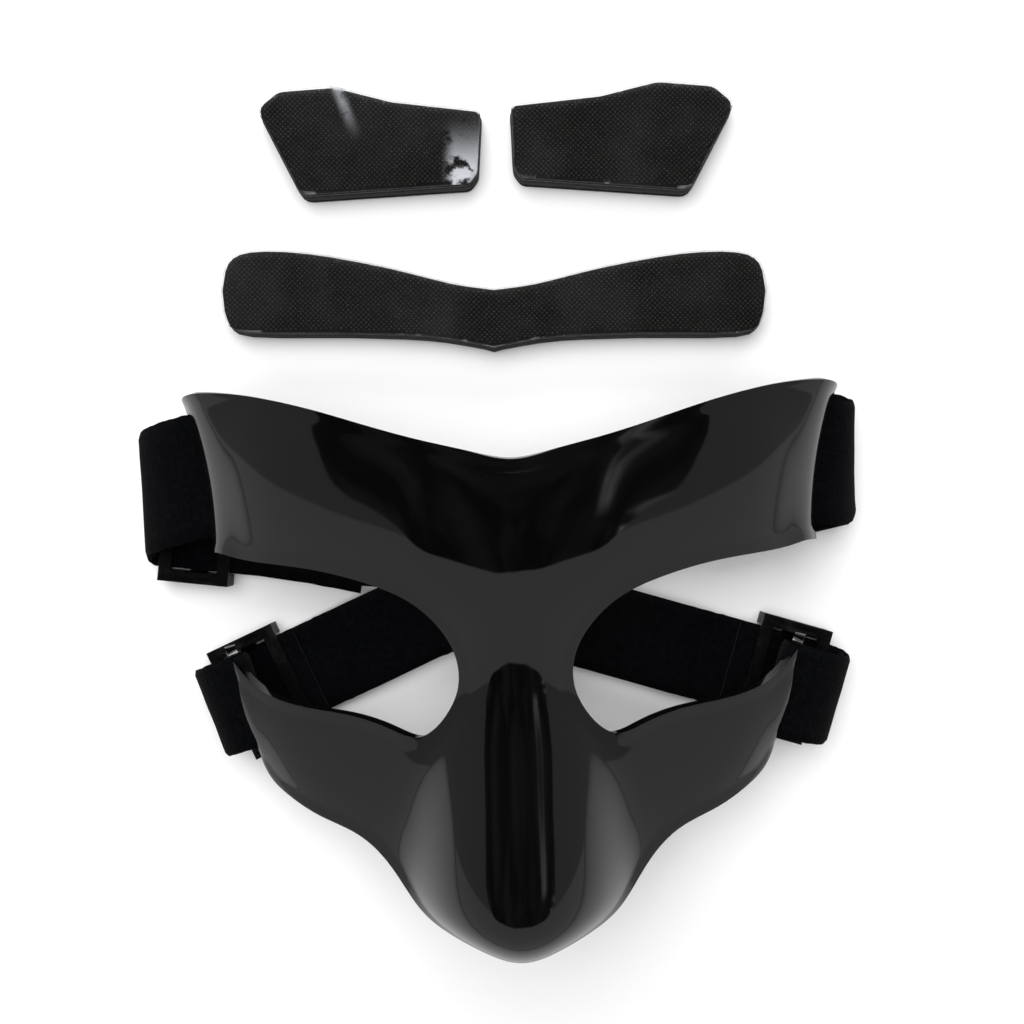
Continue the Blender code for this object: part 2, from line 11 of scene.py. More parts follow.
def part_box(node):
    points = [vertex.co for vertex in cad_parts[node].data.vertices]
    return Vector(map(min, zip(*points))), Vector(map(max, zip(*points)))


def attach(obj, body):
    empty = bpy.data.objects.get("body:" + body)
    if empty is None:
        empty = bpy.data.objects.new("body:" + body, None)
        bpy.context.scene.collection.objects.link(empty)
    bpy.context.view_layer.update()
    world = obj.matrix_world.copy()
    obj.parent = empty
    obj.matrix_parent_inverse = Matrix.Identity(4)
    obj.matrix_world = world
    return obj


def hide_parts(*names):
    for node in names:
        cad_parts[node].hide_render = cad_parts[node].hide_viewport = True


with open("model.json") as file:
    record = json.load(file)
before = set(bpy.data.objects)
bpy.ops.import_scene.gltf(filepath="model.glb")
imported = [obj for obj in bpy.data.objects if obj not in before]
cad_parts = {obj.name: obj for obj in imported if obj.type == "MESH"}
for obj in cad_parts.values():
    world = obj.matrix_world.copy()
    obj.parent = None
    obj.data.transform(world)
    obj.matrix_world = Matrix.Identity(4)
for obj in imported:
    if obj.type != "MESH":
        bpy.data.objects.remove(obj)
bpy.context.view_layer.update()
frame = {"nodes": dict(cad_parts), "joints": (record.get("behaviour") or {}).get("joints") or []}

mm = 0.001
scene = bpy.context.scene


# small helpers

def deselectAll():
    for chosen in bpy.context.selected_objects:
        chosen.select_set(False)


def choose(piece):
    deselectAll()
    piece.select_set(True)
    bpy.context.view_layer.objects.active = piece


def finishWith(piece, kind, **settings):
    modifier = piece.modifiers.new(kind.lower(), kind)
    for key, value in settings.items():
        setattr(modifier, key, value)
    choose(piece)
    bpy.ops.object.modifier_apply(modifier=modifier.name)


def settle(piece, smoothAngle):
    choose(piece)
    bpy.ops.object.transform_apply(location=True, rotation=True, scale=True)
    bpy.ops.object.shade_smooth_by_angle(angle=math.radians(smoothAngle))


def meshPiece(name, fill):
    mesh = bpy.data.meshes.new(name)
    shape = bmesh.new()
    fill(shape)
    shape.to_mesh(mesh)
    shape.free()
    piece = bpy.data.objects.new(name, mesh)
    scene.collection.objects.link(piece)
    return piece


def copyOfNode(node, name):
    source = frame["nodes"][node]
    piece = bpy.data.objects.new(name, source.data.copy())
    scene.collection.objects.link(piece)
    piece.data.materials.clear()
    choose(piece)
    bpy.ops.object.mode_set(mode="EDIT")
    bpy.ops.mesh.select_all(action="SELECT")
    bpy.ops.mesh.remove_doubles(threshold=0.00001)
    bpy.ops.mesh.dissolve_limited(angle_limit=math.radians(1))
    bpy.ops.object.mode_set(mode="OBJECT")
    return piece


def finishPiece(piece, body, node, material):
    piece.data.materials.clear()
    piece.data.materials.append(material)
    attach(piece, body)
    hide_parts(node)
    return piece


# shader maths: a wrapped socket, so that sums and products add their own nodes

class Wire:
    def __init__(self, tree, socket=None):
        self.tree = tree
        self.socket = socket

    def node(self, kind, settings=None, inputs=None, out=0):
        made = self.tree.nodes.new(kind)
        for key, value in (settings or {}).items():
            setattr(made, key, value)
        for key, value in (inputs or {}).items():
            if isinstance(value, Wire):
                self.tree.links.new(value.socket, made.inputs[key])
            else:
                made.inputs[key].default_value = value
        return Wire(self.tree, made.outputs[out] if out is not None else None)

    def maths(self, operation, *others):
        return self.node("ShaderNodeMath", {"operation": operation}, dict(enumerate([self, *others])))

    def __add__(self, other):
        return self.maths("ADD", other)

    __radd__ = __add__

    def __sub__(self, other):
        return self.maths("SUBTRACT", other)

    def __rsub__(self, other):
        return self.maths("MULTIPLY_ADD", -1.0, other)

    def __mul__(self, other):
        return self.maths("MULTIPLY", other)

    __rmul__ = __mul__

    def __truediv__(self, other):
        return self.maths("DIVIDE", other)

    def __pow__(self, other):
        return self.maths("POWER", other)

    def stepped(self, low, high, first=0.0, last=1.0):
        inputs = {"Value": self, "From Min": low, "From Max": high, "To Min": first, "To Max": last}
        return self.node("ShaderNodeMapRange", {"interpolation_type": "SMOOTHSTEP"}, inputs)

    def noise(self, scale, detail=2.0, rough=0.5):
        inputs = {"Vector": self, "Scale": scale, "Detail": detail, "Roughness": rough}
        return self.node("ShaderNodeTexNoise", {}, inputs, "Fac")

    def cells(self, scale):
        inputs = {"Vector": self, "Scale": scale}
        return self.node("ShaderNodeTexVoronoi", {"feature": "F1"}, inputs, "Distance")

    def ripple(self, pitch):
        return (self * (2 * math.pi / pitch)).maths("SINE")

    def blend(self, first, second):
        settings = {"data_type": "RGBA"}
        return self.node("ShaderNodeMix", settings, {"Factor": self, "A": first, "B": second}, "Result")

    def parts(self):
        split = self.node("ShaderNodeSeparateXYZ", {}, {"Vector": self})
        outputs = split.socket.node.outputs
        return [Wire(self.tree, outputs[axis]) for axis in range(3)]


def newMaterial(name, **numbers):
    material = bpy.data.materials.new(name)
    material.use_nodes = True
    tree = material.node_tree
    shader = tree.nodes["Principled BSDF"]
    for key, value in numbers.items():
        shader.inputs[key.replace("_", " ")].default_value = value
    start = Wire(tree)
    place = start.node("ShaderNodeTexCoord", {}, {}, "Object")
    return material, shader, place


def feed(shader, **wires):
    for key, wire in wires.items():
        wire.tree.links.new(wire.socket, shader.inputs[key.replace("_", " ")])


def bump(height, distance, strength):
    inputs = {"Height": height, "Distance": distance, "Strength": strength}
    return height.node("ShaderNodeBump", {}, inputs, "Normal")


def rgb(red, green, blue):
    return (red, green, blue, 1.0)


# camera, floor and room

cameraView = {"x": 3.38 * mm, "y": -7.38 * mm, "height": 328 * mm, "turn": -1.31, "lens": 37.80}
room = {
    "north": 0.19, "south": 0.34, "lowNorth": 4.5, "shade": 0.014, "shadeWide": 0.43, "shadeLong": 0.46,
    "shadeNorth": 0.15, "streak": 0.42, "patch": 0.75, "seenDirectly": 0.95,
    "lampPower": 19.0, "lampSize": 1.3, "lampPlace": (-0.15, 0.25, 1.1),
    # tableShadeInGloss is painted shade: how dark the table looks in reflections
    "floorSize": 6, "floorDrop": 0.2 * mm, "tableShadeInGloss": 0.38,
}


def addCamera():
    bpy.ops.object.camera_add(
        location=(cameraView["x"], cameraView["y"], cameraView["height"]),
        rotation=(0, 0, math.radians(cameraView["turn"])),
    )
    camera = bpy.context.object
    camera.data.lens = cameraView["lens"]
    camera.data.sensor_width = 36
    camera.data.clip_start = 0.01
    scene.camera = camera


def addRoom():
    world = bpy.data.worlds.new("room")
    scene.world = world
    world.use_nodes = True
    tree = world.node_tree
    tree.nodes.clear()
    start = Wire(tree)
    heading = start.node("ShaderNodeTexCoord", {}, {}, "Generated")
    east, north, up = heading.parts()
    # how far a direction leans from straight up: 0.41 is 45 degrees and 1 is level
    flatten = up.maths("MAXIMUM", -0.5) + 1
    side = east / flatten
    rise = north / flatten
    level = (side * side + rise * rise).maths("SQRT")
    sideways = side.maths("ABSOLUTE")
    bright = (rise - 0.38 * sideways).stepped(-0.322, -0.298, room["south"], room["north"])
    lowNorth = level.stepped(0.50, 0.60) * rise.stepped(0.46, 0.56)
    bright = bright + lowNorth * (room["lowNorth"] - bright)

    def drift(wide, tall, layer, detail):
        inputs = {0: side * wide, 1: rise * tall, 2: layer}
        return start.node("ShaderNodeCombineXYZ", {}, inputs).noise(1.0, detail)

    # someone leaning over the table, seen only in the gloss
    reach = (sideways / room["shadeWide"]) ** 3.0
    reach = reach + ((rise - room["shadeNorth"]) / room["shadeLong"]).maths("ABSOLUTE") ** 3.0
    ragged = drift(4.0, 3.0, 1.0, 3.0)
    shade = (reach + ragged * 0.5).stepped(1.14, 1.24, 1.0, 0.0)
    folds = drift(11.0, 2.0, 4.0, 2.0)
    cloth = room["shade"] * folds.stepped(0.35, 0.68, 0.4, 3.2)
    streak = side.stepped(0.20, 0.23) * side.stepped(0.26, 0.30, 1.0, 0.0) * rise.stepped(-0.06, 0.10)
    cloth = cloth + streak * folds.stepped(0.30, 0.60) * room["streak"]
    patch = side.stepped(0.34, 0.37) * side.stepped(0.45, 0.49, 1.0, 0.0)
    patch = patch * rise.stepped(-0.20, -0.17) * rise.stepped(-0.05, 0.0, 1.0, 0.0)
    cloth = cloth + patch * ragged.stepped(0.42, 0.52) * room["patch"]
    gloss = bright + shade * (cloth - bright)
    isCamera = start.node("ShaderNodeLightPath", {}, {}, "Is Camera Ray")
    strength = gloss + isCamera * (room["seenDirectly"] - gloss)
    background = start.node("ShaderNodeBackground", {}, {"Color": rgb(1, 1, 1), "Strength": strength})
    start.node("ShaderNodeOutputWorld", {}, {"Surface": background}, None)
    bpy.ops.object.light_add(type="AREA", location=room["lampPlace"])
    lamp = bpy.context.object
    lamp.data.size = room["lampSize"]
    lamp.data.energy = room["lampPower"]
    lamp.rotation_euler = (-Vector(room["lampPlace"])).to_track_quat("-Z", "Y").to_euler()
    lamp.visible_glossy = False
    bpy.ops.mesh.primitive_plane_add(size=room["floorSize"], location=(0, 0, -room["floorDrop"]))
    floor = bpy.context.object
    floor.name = "floor"
    material, shader, place = newMaterial("white_table", Roughness=0.75, Specular_IOR_Level=0.1)
    inGloss = place.node("ShaderNodeLightPath", {}, {}, "Is Glossy Ray")
    paper = place.noise(18.0).blend(rgb(0.90, 0.90, 0.90), rgb(0.92, 0.92, 0.92))
    # painted shade: in reflections the whole table is shown darker, standing in for the table's shade
    glossShade = room["tableShadeInGloss"]
    feed(shader, Base_Color=inGloss.blend(paper, rgb(glossShade, glossShade, glossShade)))
    floor.data.materials.append(material)
    scene.view_settings.view_transform = "Standard"


# materials

def glossBlack():
    material, shader, place = newMaterial("gloss_black", Coat_Weight=1.0, Coat_Roughness=0.02)
    smear = place.noise(22.0, 3.0)
    specks = place.cells(420.0).stepped(0.02, 0.05, 1.0, 0.0) * place.noise(60.0).stepped(0.60, 0.66)
    tone = (smear * 0.6 + specks * 3.0).blend(rgb(0.0008, 0.0008, 0.0008), rgb(0.0024, 0.0024, 0.0023))
    feed(shader, Base_Color=tone, Roughness=smear.stepped(0.3, 0.7, 0.05, 0.11) + specks * 0.2)
    feed(shader, Normal=bump(place.noise(150.0, 1.0) + specks * 0.5, 0.02 * mm, 0.30))
    return material


# pitch of the ribs along the elastic and of the cords across it
elasticWeave = {"rib": 1.1, "cord": 1.9}


def elasticBlack():
    material, shader, place = newMaterial("elastic_black", Specular_IOR_Level=0.05, Sheen_Weight=0.015)
    across, along, _ = place.node("ShaderNodeUVMap", {"uv_map": "weave"}).parts()
    ribs = along.ripple(elasticWeave["rib"]) * 0.5 + 0.5
    cords = across.ripple(elasticWeave["cord"]) * 0.5 + 0.5
    nap = place.noise(2600.0, 4.0, 0.75)
    clumps = place.noise(700.0, 3.0, 0.6)
    bright = nap.stepped(0.50, 0.74) * 0.75 + clumps.stepped(0.4, 0.7) * 0.2 + ribs * 0.05
    feed(shader, Base_Color=bright.blend(rgb(0.0008, 0.0009, 0.0012), rgb(0.0062, 0.0068, 0.0088)))
    feed(shader, Roughness=nap.stepped(0.3, 0.7, 0.85, 1.0))
    feed(shader, Normal=bump(nap * 0.6 + clumps * 0.7 + ribs * 0.2 + cords * 0.1, 0.35 * mm, 0.7))
    return material


def mouldedBlack():
    material, shader, place = newMaterial("moulded_black", Specular_IOR_Level=0.4)
    grain = place.noise(1800.0, 2.0)
    wear = place.noise(120.0, 3.0).stepped(0.52, 0.70)
    feed(shader, Base_Color=wear.blend(rgb(0.0015, 0.0017, 0.0015), rgb(0.0060, 0.0064, 0.0060)))
    feed(shader, Roughness=grain.stepped(0.3, 0.7, 0.26, 0.40), Normal=bump(grain, 0.04 * mm, 0.5))
    return material


# pitch of the knit across and along the pad
knitPitch = {"wale": 0.9 * mm, "course": 0.7 * mm}


def skinKnit():
    material, shader, place = newMaterial("skin_knit", Sheen_Weight=0.2)
    across, along, _ = place.parts()
    loops = across.ripple(knitPitch["wale"]) * along.ripple(knitPitch["course"]) * 0.5 + 0.5
    feed(shader, Base_Color=loops.blend(rgb(0.010, 0.010, 0.012), rgb(0.030, 0.030, 0.034)))
    feed(shader, Roughness=place.noise(900.0).stepped(0.3, 0.7, 0.8, 0.98))
    feed(shader, Normal=bump(loops, 0.15 * mm, 0.6))
    return material


def padFoam():
    material, shader, place = newMaterial("pad_foam", Specular_IOR_Level=0.25)
    pores = place.cells(1500.0).stepped(0.05, 0.45)
    skin = place.noise(180.0, 3.0)
    tone = (pores * 0.7 + skin * 0.4).blend(rgb(0.012, 0.012, 0.012), rgb(0.055, 0.055, 0.055))
    feed(shader, Base_Color=tone)
    feed(shader, Roughness=skin.stepped(0.3, 0.7, 0.85, 1.0), Normal=bump(pores, 0.2 * mm, 0.7))
    return material


def loopPile():
    material, shader, place = newMaterial("loop_pile", Sheen_Weight=0.35)
    pile = place.noise(1900.0, 4.0, 0.7)
    tone = pile.stepped(0.35, 0.65).blend(rgb(0.010, 0.010, 0.011), rgb(0.070, 0.070, 0.070))
    feed(shader, Base_Color=tone)
    feed(shader, Roughness=pile.stepped(0.2, 0.8, 0.85, 1.0), Normal=bump(pile, 0.3 * mm, 0.8))
    return material


hookShape = {"face": 7.1, "pitch": 1.5, "tall": 0.18, "wide": 0.36}


def hookBlack():
    material, shader, place = newMaterial("hook_black", Specular_IOR_Level=0.5)
    mottle = place.noise(260.0, 3.0)
    grit = place.noise(3200.0, 2.0)
    _, _, up = place.parts()
    tips = up.stepped(hookShape["face"] * mm, (hookShape["face"] + hookShape["tall"]) * mm)
    sparse = place.noise(300.0, 1.0).stepped(0.55, 0.62)
    glints = place.cells(900.0).stepped(0.05, 0.12, 1.0, 0.0) * sparse
    ground = mottle.stepped(0.3, 0.7).blend(rgb(0.0035, 0.0034, 0.0030), rgb(0.014, 0.0136, 0.012))
    hooks = grit.stepped(0.35, 0.65).blend(rgb(0.022, 0.0213, 0.0190), rgb(0.165, 0.160, 0.145))
    feed(shader, Base_Color=glints.blend(tips.blend(ground, hooks), rgb(0.50, 0.50, 0.48)))
    feed(shader, Roughness=mottle.stepped(0.3, 0.7, 0.40, 0.65) - glints * 0.2)
    feed(shader, Normal=bump(grit + mottle * 0.6, 0.12 * mm, 0.7))
    return material


def clearFilm():
    material, shader, place = newMaterial("clear_film", Coat_Weight=1.0, Coat_Roughness=0.02, IOR=1.5)
    across, along, _ = place.parts()
    haze = place.noise(55.0, 3.0)
    # painted glare: whitish patches that stand in for highlights on the film, at one corner and along a
    # crease
    ragged = place.noise(210.0, 4.0, 0.6).stepped(0.36, 0.50)
    # corner: a painted highlight in one corner of the film
    corner = across.stepped(-16 * mm, -11 * mm) * across.stepped(-4 * mm, -3.4 * mm, 1.0, 0.0)
    corner = corner * along.stepped(92 * mm, 113 * mm, 1.0, 0.0) * along.stepped(80 * mm, 89 * mm)
    corner = corner * ragged
    lean = across + 44 * mm + (along - 115 * mm) * 0.35
    # a painted highlight along a slanting crease line
    creaseGlare = lean.maths("ABSOLUTE").stepped(0.2 * mm, 3.0 * mm, 1.0, 0.0)
    creaseGlare = creaseGlare * along.stepped(103 * mm, 117 * mm) * (ragged * 0.7 + 0.3)
    _, _, facingUp = place.node("ShaderNodeNewGeometry", {}, {}, "Normal").parts()
    rim = facingUp.stepped(0.3, 0.8, 1.0, 0.0)
    paintedGlare = (corner * 0.85 + creaseGlare * 0.45).maths("MINIMUM", 1.0)
    tint = haze.blend(rgb(0.03, 0.03, 0.03), rgb(0.14, 0.14, 0.145))
    # the painted glare and the film's edges turn the colour whitish
    feed(shader, Base_Color=(paintedGlare + rim * 0.4).blend(tint, rgb(0.80, 0.83, 0.88)))
    feed(shader, Roughness=haze.stepped(0.3, 0.7, 0.04, 0.10))
    feed(shader, Normal=bump(place.noise(90.0, 2.0), 0.05 * mm, 0.5))
    tree = shader.id_data
    glance = place.node("ShaderNodeFresnel", {}, {"IOR": 1.5})
    # the painted glare also makes the film less clear there
    share = glance * 0.9 + haze.stepped(0.35, 0.75, 0.01, 0.05) + paintedGlare * 0.8 + rim * 0.35
    clear = place.node("ShaderNodeBsdfTransparent", {}, {"Color": rgb(0.97, 0.97, 0.97)})
    solid = Wire(tree, shader.outputs[0])
    mixed = place.node("ShaderNodeMixShader", {}, {0: share, 1: clear, 2: solid})
    output = next(node for node in tree.nodes if node.type == "OUTPUT_MATERIAL")
    tree.links.new(mixed.socket, output.inputs["Surface"])
    return material


# straps: the route of each, worked out from its slots

strapSizes = {
    "thick": 1.3, "gap": 0.4, "fold": 2.6, "bar": 1.8, "rearBar": 5.2, "window": 4.6, "wall": 3.0,
    "sliderLong": 21.0, "sliderClear": 1.3, "rise": 16.0, "wave": 0.11,
    "slotEntry": 2.0, "wrapBulge": 2.6, "wrapReturn": 3.2, "bandPull": 0.36,
}
mainHeight = strapSizes["bar"] + strapSizes["gap"] + strapSizes["thick"] / 2
tailHeight = mainHeight + strapSizes["thick"] + strapSizes["gap"]
sliderTop = tailHeight + strapSizes["thick"] / 2 + strapSizes["gap"] + strapSizes["bar"]
legHeight = sliderTop + strapSizes["gap"] + strapSizes["thick"] / 2
endHeight = legHeight + strapSizes["thick"] / 2 + 1.5 * strapSizes["gap"]
slotHeight = endHeight + strapSizes["rearBar"] + strapSizes["window"] / 2
browEnd = {
    "width": 36.0, "x": 92.2, "y": 12.2, "lean": 9.0,
    "run": ((6.4, 19.5, -1.2), (1.7, 9.7, -1.8), (0.0, 0.0, -1.8)),
}
cheekEnd = {
    "width": 27.0, "x": 79.8, "y": -53.6, "lean": 18.0,
    "run": ((1.3, 8.5, 2.6), (0.0, 0.0, 1.0)),
}
strapEnds = {
    "upper_left": {
        "end": browEnd, "sign": -1, "reach": 22.5,
        "climb": -7.0, "shift": 6.0, "tail": 61.5, "droop": 2.2,
    },
    "upper_right": {
        "end": browEnd, "sign": 1, "reach": 14.5,
        "climb": -12.0, "shift": -4.5, "tail": 44.0,
    },
    "lower_left": {
        "end": cheekEnd, "sign": -1, "reach": 12.0,
        "climb": 24.0, "shift": 0.9, "tail": 27.0,
    },
    "lower_right": {
        "end": cheekEnd, "sign": 1, "reach": 17.0,
        "climb": 17.0, "shift": -2.2, "tail": 28.0,
    },
}


def endFrame(end):
    lean = math.radians(end["lean"])
    out = Vector((math.cos(lean), -math.sin(lean), 0))
    along = Vector((math.sin(lean), math.cos(lean), 0))
    return Vector((end["x"], end["y"], endHeight)), out, along


def slotMiddle(end):
    middle, out, _ = endFrame(end)
    (inboard, rise, push), last = end["run"][-2:]
    share = (slotHeight - endHeight) / rise
    depth = inboard * share - push * share - last[2] * (1 - share) + strapSizes["wall"] / 2
    return Vector((middle.x, middle.y, slotHeight)) - out * depth


class StrapEnd:
    def __init__(self, spec):
        sign = spec["sign"]
        slot = slotMiddle(spec["end"])
        lean = math.radians(spec["end"]["lean"])
        climb = math.radians(spec["climb"])
        self.slot = Vector((sign * slot.x, slot.y, 0))
        self.out = Vector((sign * math.cos(lean), -math.sin(lean), 0))
        self.back = Vector((sign * math.cos(climb), -math.sin(climb), 0))
        self.reach = spec["reach"]
        self.tail = spec["tail"]
        self.droop = spec.get("droop", 0.0)
        self.foldX = self.reach - strapSizes["thick"] * 1.5 - strapSizes["fold"] - strapSizes["gap"]
        self.foldPlace = self.slot + self.out * self.foldX + Vector((0, -spec["shift"], 0))
        self.across = Vector((-self.out.y, self.out.x, 0)) * sign
        self.backAcross = Vector((-self.back.y, self.back.x, 0)) * sign

    def sliderMiddle(self):
        return self.foldPlace - self.back * (strapSizes["sliderLong"] / 2 + strapSizes["sliderClear"])

    def station(self, x, z, share, droop=0.0):
        ease = share * share * (3 - 2 * share)
        before = self.slot + self.out * x
        after = self.foldPlace + self.back * (x - self.foldX)
        centre = before.lerp(after, ease) + Vector((0, -droop, z))
        return centre, self.across.lerp(self.backAcross, ease).normalized()

    def outerLayer(self):
        extreme = self.reach - strapSizes["thick"] / 2
        big = strapSizes["fold"] + strapSizes["thick"] + strapSizes["gap"]
        middle = mainHeight + big
        entry = strapSizes["slotEntry"]
        found = [self.station(-entry, slotHeight, 0), self.station(0.0, slotHeight, 0)]
        for step in range(25):
            angle = math.pi / 2 * step / 24
            z = middle + (slotHeight - middle) * math.cos(angle)
            found.append(self.station(entry + (extreme - entry) * math.sin(angle), z, step / 48))
        for step in range(1, 16):
            angle = math.pi / 2 * step / 15
            x = extreme - big + big * math.cos(angle)
            found.append(self.station(x, middle - big * math.sin(angle), 0.5 + step / 30))
        return found

    def wrap(self):
        middle = (slotHeight + legHeight) / 2
        half = (slotHeight - legHeight) / 2
        entry = strapSizes["slotEntry"]
        found = []
        for step in range(1, 16):
            angle = math.pi * step / 16
            inboard = entry + strapSizes["wrapBulge"] * math.sin(angle)
            found.append(self.station(-inboard, middle + half * math.cos(angle), 0))
        found.append(self.station(-entry, legHeight, 0))
        return [*found, self.station(strapSizes["wrapReturn"], legHeight, 0)]

    def innerLayer(self):
        fold = strapSizes["fold"]
        top = tailHeight + 2 * fold
        start = 0.5 * (self.foldX + strapSizes["wrapReturn"])
        found = [self.station(start, 0.4 * legHeight + 0.6 * top, 0.1)]
        for step in range(17):
            angle = math.pi * step / 16
            z = tailHeight + fold + fold * math.cos(angle)
            found.append(self.station(self.foldX + fold * math.sin(angle), z, 0.2 + 0.05 * step))
        for step in range(1, 17):
            share = step / 16
            droop = self.droop * max(0.0, 1.6 * share - 0.6) ** 2
            found.append(self.station(self.foldX - self.tail * share, tailHeight, 1, droop))
        return found

    def bandPlace(self, run, height):
        return self.foldPlace - self.back * run + Vector((0, 0, height))


def bandStations(left, right, leftRun, rightRun, lift):
    rising = []
    falling = []
    for step in range(9):
        share = step / 9
        height = mainHeight + lift * share * share * (3 - 2 * share)
        run = 2 + strapSizes["rise"] * share
        rising.append((left.bandPlace(left.tail + run, height), left.backAcross))
        falling.append((right.bandPlace(right.tail + run, height), right.backAcross))
    start = left.bandPlace(leftRun, mainHeight + lift)
    end = right.bandPlace(rightRun, mainHeight + lift)
    pull = (end - start).length * strapSizes["bandPull"]
    control = (start, start - left.back * pull, end - right.back * pull, end)
    middle = []
    for step in range(41):
        t = step / 40
        u = 1 - t
        centre = control[0] * u**3 + control[1] * 3 * u * u * t
        centre = centre + control[2] * 3 * u * t * t + control[3] * t**3
        way = (control[1] - control[0]) * u * u + (control[2] - control[1]) * 2 * u * t
        way = (way + (control[3] - control[2]) * t * t).normalized()
        middle.append((centre, Vector((-way.y, way.x, 0))))
    return [*rising, *middle, *falling[::-1]]


def strapStations(left, right, leftRun, rightRun, lift):
    found = [*left.innerLayer()[::-1], *left.wrap()[::-1], *left.outerLayer()]
    found += bandStations(left, right, leftRun, rightRun, lift)
    found += [*right.outerLayer()[::-1], *right.wrap(), *right.innerLayer()]
    fixed = [found[0]]
    for centre, across in found[1:]:
        fixed.append((centre, across if across.dot(fixed[-1][1]) > 0 else -across))
    return fixed


def strapSection(width, columns=14):
    # rounded at both edges, from one edge over the top and back under
    half = width / 2
    thick = strapSizes["thick"]
    top = []
    for column in range(columns + 1):
        u = -math.cos(math.pi * column / columns) * 0.35 + (2 * column / columns - 1) * 0.65
        near = max(0.0, abs(u) * half - (half - thick / 2)) / (thick / 2)
        top.append((u * half, thick / 2 * math.sqrt(max(0.0, 1 - near * near)) + 0.05))
    return [*top, *((x, -z) for x, z in top[::-1])]


def addStrap(name, left, right, width, runs, lift, offset, seed):
    stations = strapStations(left, right, *runs, lift)
    section = strapSection(width)
    count = len(section)
    lengths = []

    def fill(shape):
        weave = shape.loops.layers.uv.new("weave")
        rings = []
        length = 0.0
        for index, (centre, across) in enumerate(stations):
            before = stations[max(index - 1, 0)][0]
            after = stations[min(index + 1, len(stations) - 1)][0]
            rise = (after - before).normalized().cross(across).normalized()
            length += (centre - before).length
            ring = []
            for x, z in section:
                wave = noise.noise(Vector((x / 7, length / 8, seed))) * strapSizes["wave"]
                edge = noise.noise(Vector((length / 2.5, seed, 3.0))) * 0.25 * (x / width * 2) ** 3
                place = centre + across * (x + edge) + rise * (z + wave) + offset
                ring.append(shape.verts.new(place * mm))
            rings.append(ring)
            lengths.append(length)
        for row in range(len(rings) - 1):
            for column in range(count):
                following = (column + 1) % count
                corners = ((row, column), (row, following), (row + 1, following), (row + 1, column))
                face = shape.faces.new([rings[r][c] for r, c in corners])
                for loop, (r, c) in zip(face.loops, corners):
                    loop[weave].uv = (section[c][0], lengths[r])
        shape.faces.new(rings[0][::-1])
        shape.faces.new(rings[-1])
        bmesh.ops.recalc_face_normals(shape, faces=shape.faces)

    piece = meshPiece(name, fill)
    settle(piece, 50)
    print(name, "flat size", width, "x", round(lengths[-1], 1), "mm")
    return piece


# sliders

sliderShape = {"rail": 3.4, "play": 0.6, "sideBar": 3.6, "centreBar": 5.0, "corner": 4.4, "edge": 0.55}


def cutBlock(piece, low, high):
    size = [b - a for a, b in zip(low, high)]
    bpy.ops.mesh.primitive_cube_add(size=1, location=[(a + b) / 2 * mm for a, b in zip(low, high)])
    cutter = bpy.context.object
    cutter.scale = [value * mm for value in size]
    bpy.ops.object.transform_apply(location=True, rotation=True, scale=True)
    finishWith(piece, "BOOLEAN", operation="DIFFERENCE", object=cutter)
    bpy.data.objects.remove(cutter)


def addSlider(name, strapWidth, material):
    opening = strapWidth / 2 + sliderShape["play"]
    halfAcross = opening + sliderShape["rail"]
    halfLong = strapSizes["sliderLong"] / 2
    bar = strapSizes["bar"]
    deselectAll()
    bpy.ops.mesh.primitive_cube_add(size=1, location=(0, 0, sliderTop / 2 * mm))
    piece = bpy.context.object
    piece.name = name + "_frame"
    piece.scale = (halfLong * 2 * mm, halfAcross * 2 * mm, sliderTop * mm)
    bpy.ops.object.transform_apply(location=True, rotation=True, scale=True)
    bpy.ops.object.mode_set(mode="EDIT")
    shape = bmesh.from_edit_mesh(piece.data)
    for edge in shape.edges:
        edge.select_set(abs(edge.verts[0].co.z - edge.verts[1].co.z) > mm)
    bmesh.update_edit_mesh(piece.data)
    bpy.ops.mesh.bevel(offset=sliderShape["corner"] * mm, segments=8)
    bpy.ops.object.mode_set(mode="OBJECT")
    window = halfLong - sliderShape["sideBar"]
    centre = sliderShape["centreBar"] / 2
    cutBlock(piece, (-halfLong - 2, -opening, bar), (halfLong + 2, opening, sliderTop - bar))
    cutBlock(piece, (-window, -opening, bar + 1), (window, opening, sliderTop + 2))
    cutBlock(piece, (centre, -opening, -2), (halfLong + 2, opening, bar + 1))
    cutBlock(piece, (-halfLong - 2, -opening, -2), (-centre, opening, bar + 1))
    # a shallow groove moulded along each rail
    for side in (-1, 1):
        low, high = sorted((side * (opening + 1.1), side * (halfAcross - 1.0)))
        cutBlock(piece, (-halfLong + 5, low, sliderTop - 0.5), (halfLong - 5, high, sliderTop + 1))
    finishWith(
        piece, "BEVEL", width=sliderShape["edge"] * mm, segments=3, limit_method="ANGLE",
        angle_limit=math.radians(40), use_clamp_overlap=True,
    )
    low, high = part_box(name)
    axis = next(joint["axis"] for joint in frame["joints"] if joint["child"] == name)
    piece.rotation_euler = (0, 0, math.atan2(axis[1], axis[0]))
    piece.location = ((low.x + high.x) / 2, (low.y + high.y) / 2, 0)
    settle(piece, 35)
    return finishPiece(piece, name, name, material)


# shell: a cage of quads for one half, mirrored, smoothed and given its wall

shellShape = {
    "wall": 3.0, "rim": 1.45, "smooth": 3, "bead": 0.6, "beadWide": 3.6,
    "slotPlay": 1.5, "slotCutter": 12, "slotRound": 1.6,
}
